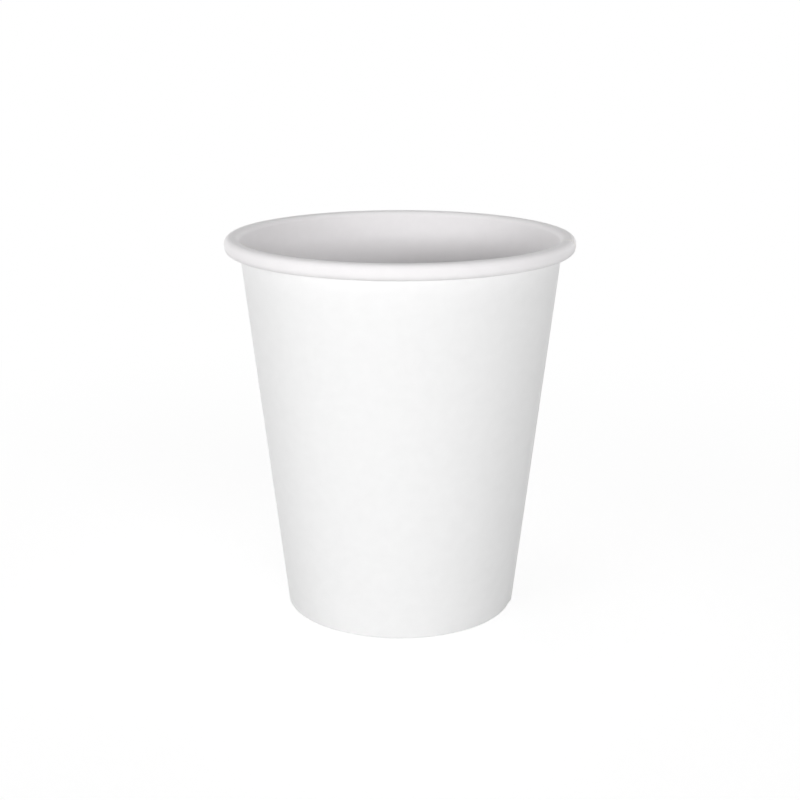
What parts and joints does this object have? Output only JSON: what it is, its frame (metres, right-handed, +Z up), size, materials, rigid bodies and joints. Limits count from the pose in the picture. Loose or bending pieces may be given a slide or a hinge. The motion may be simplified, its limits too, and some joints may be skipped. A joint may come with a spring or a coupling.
{
  "type": "paper coffee cup",
  "caption": "Plain white paper cup for hot drinks: tapered lapped wall, hollow rolled rim, recessed base held by a folded foot.",
  "frame": {"origin": "on the axis of the cup, in the plane that it stands on", "axes": "+Z up along the axis, towards the mouth; -Y towards the viewer of the picture; the inner edge of the side seam lies 11.5 degrees from +X towards -Y"},
  "size_m": [0.08, 0.08, 0.088],
  "materials": {
    "sidewall_board": "uncoated matt white board outside, thin clear coating with a soft satin sheen inside",
    "base_board": "white board, coated with a soft satin sheen on the face that holds the drink"
  },
  "bodies": {
    "root": {"sidewall": "sidewall_board", "base_disc": "base_board"}
  },
  "joints": []
}
